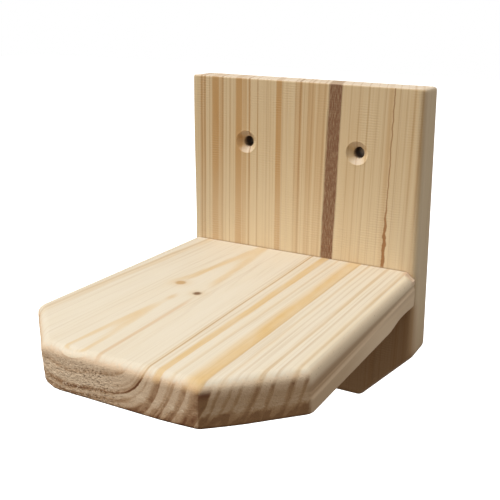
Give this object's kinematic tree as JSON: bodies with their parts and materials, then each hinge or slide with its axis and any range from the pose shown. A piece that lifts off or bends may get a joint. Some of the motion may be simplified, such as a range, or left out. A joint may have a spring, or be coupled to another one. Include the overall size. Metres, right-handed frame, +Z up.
{
  "type": "cat wall step",
  "caption": "Wooden wall step for a cat: a level board with cut front corners, butted on a back plate with countersunk holes for the wall screws.",
  "frame": {"origin": "on the wall, on the back plate's rear face, midway between the two wall holes", "axes": "+Z up, +Y into the wall, +X to the right for someone who faces the wall, so the step reaches out along -Y"},
  "size_m": [0.145, 0.183, 0.18],
  "materials": {
    "plate_wood": "planed and sanded bare softwood, upright straight grain, matt",
    "step_wood": "planed and sanded bare softwood, grain running front to back, matt",
    "screw_steel": "zinc plated, semi-bright",
    "dowel_wood": "turned beech, matt"
  },
  "bodies": {
    "root": {"back_plate": "plate_wood", "step_board": "step_wood", "joint_screw_left": "screw_steel", "joint_screw_centre": "screw_steel", "joint_screw_right": "screw_steel", "dowel_left": "dowel_wood", "dowel_right": "dowel_wood"}
  },
  "joints": []
}
